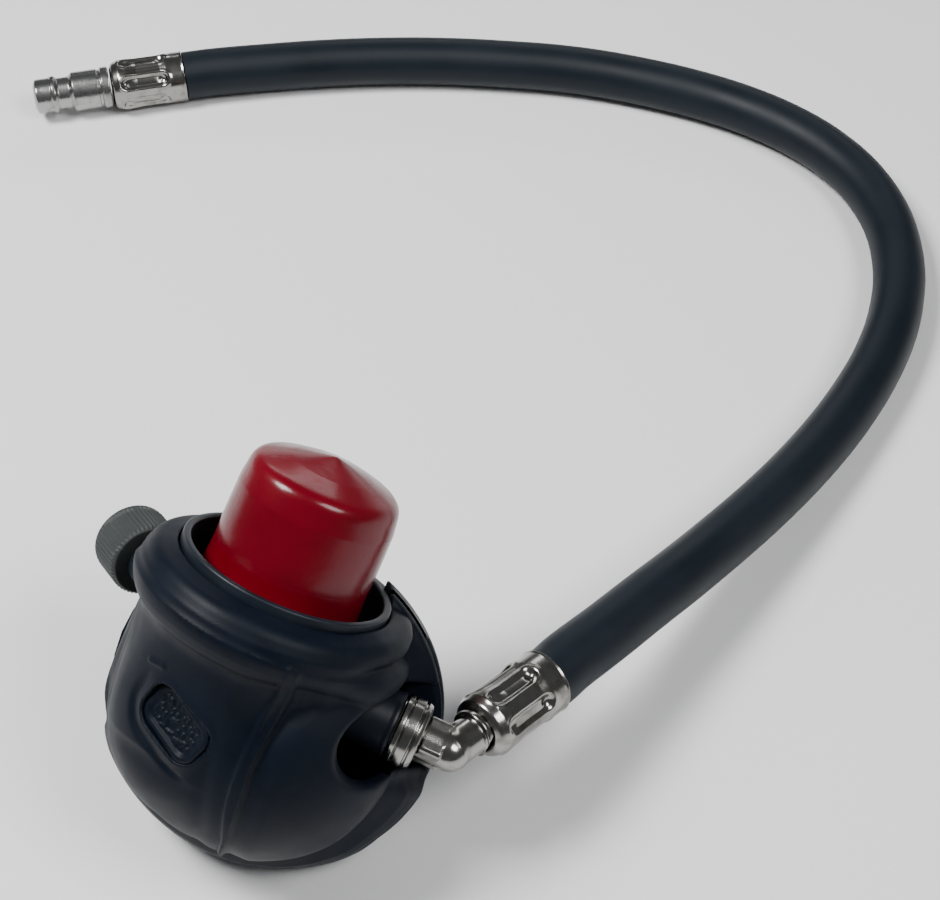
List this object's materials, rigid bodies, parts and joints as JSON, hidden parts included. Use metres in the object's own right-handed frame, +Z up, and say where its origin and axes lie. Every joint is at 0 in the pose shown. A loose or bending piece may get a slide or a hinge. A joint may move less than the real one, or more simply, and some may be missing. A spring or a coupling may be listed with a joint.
{
  "type": "breathing apparatus demand valve",
  "caption": "Ball-shaped rubber-covered demand valve with a capped mask port, push pad, side knob, swivel elbow and a supply hose that ends in a coupling plug.",
  "frame": {"origin": "on the surface the part lies on, under the middle of the valve's bounding box without the hose and its plug", "axes": "+Z up off the surface, +X from the knob side to the hose elbow, +Y away from the front pad"},
  "size_m": [0.2594, 0.292, 0.0931],
  "materials": {
    "boot_rubber": "matt navy-black moulded rubber",
    "dark_plastic": "moulded black plastic",
    "cap_vinyl": "glossy dip-moulded red vinyl",
    "connector_plastic": "smooth black plastic",
    "knob_plastic": "grey-green knurled plastic",
    "plated_brass": "nickel-plated brass",
    "plug_steel": "turned stainless steel",
    "brass": "turned brass",
    "steel": "bright stainless steel",
    "hose_rubber": "smooth extruded black rubber",
    "seal_rubber": "black nitrile",
    "silicone": "translucent grey silicone"
  },
  "bodies": {
    "valve": {"valve_housing": "dark_plastic", "rear_cover": "dark_plastic", "housing_screw_1": "steel", "housing_screw_2": "steel", "housing_screw_3": "steel", "housing_screw_4": "steel", "rubber_boot": "boot_rubber", "collar_ring": "boot_rubber", "port_sleeve": "dark_plastic", "port_plug": "connector_plastic", "port_o_ring": "seal_rubber", "diaphragm": "silicone", "bias_spring": "steel", "front_cover": "dark_plastic", "purge_spring": "steel", "inlet_barrel": "brass", "valve_seat": "connector_plastic", "inlet_filter": "brass", "piston_spring": "steel", "lever_pin": "steel", "knob_bush": "dark_plastic", "bypass_o_ring": "seal_rubber", "swivel_nut": "plated_brass", "elbow_o_ring": "seal_rubber"},
    "pad": {"purge_pad": "boot_rubber"},
    "plate": {"diaphragm_plate": "connector_plastic"},
    "lever": {"demand_lever": "steel"},
    "piston": {"valve_piston": "brass"},
    "knob": {"bypass_knob": "knob_plastic", "bypass_stem": "brass"},
    "cap": {"dust_cap": "cap_vinyl"},
    "hose_assembly": {"swivel_elbow": "plated_brass", "valve_end_ferrule": "plated_brass", "hose": "hose_rubber", "plug_end_ferrule": "plated_brass", "coupling_plug": "plug_steel"}
  },
  "joints": [
    {"name": "pad_push", "type": "slide", "parent": "valve", "child": "pad", "axis": [0.4754, 0.5985, -0.6448], "range_m": [0, 0.0025], "stiffness_N_per_m": 800, "deforming": ["purge_spring"]},
    {"name": "plate_slide", "type": "slide", "parent": "valve", "child": "plate", "axis": [0.116, 0.7999, -0.5888], "range_m": [0, 0.0023], "deforming": ["bias_spring", "diaphragm"]},
    {"name": "lever_turn", "type": "hinge", "parent": "valve", "child": "lever", "pos_m": [-0.01243, 0.0004, 0.04626], "axis": [-0.4018, -0.5044, -0.7643], "range_deg": [0, 13]},
    {"name": "piston_slide", "type": "slide", "parent": "valve", "child": "piston", "axis": [-0.9084, 0.3252, 0.2629], "range_m": [0, 0.0008], "deforming": ["piston_spring"]},
    {"name": "bypass_turn", "type": "hinge", "parent": "valve", "child": "knob", "pos_m": [-0.04257, 0.02779, 0.049], "axis": [-0.5124, 0.8156, -0.2689], "range_deg": [0, 180]},
    {"name": "cap_pull", "type": "slide", "parent": "valve", "child": "cap", "axis": [0.4018, 0.5044, 0.7643], "range_m": [0, 0.036]},
    {"name": "hose_swivel", "type": "hinge", "parent": "valve", "child": "hose_assembly", "pos_m": [0.01805, -0.01346, 0.03938], "axis": [0.9084, -0.3252, -0.2629], "continuous": true}
  ],
  "couplings": [
    {"joint": "plate_slide", "follows": "pad_push", "ratio": 0.9135},
    {"joint": "lever_turn", "follows": "pad_push", "rad_per_m": 90},
    {"joint": "piston_slide", "follows": "pad_push", "ratio": 0.312}
  ]
}
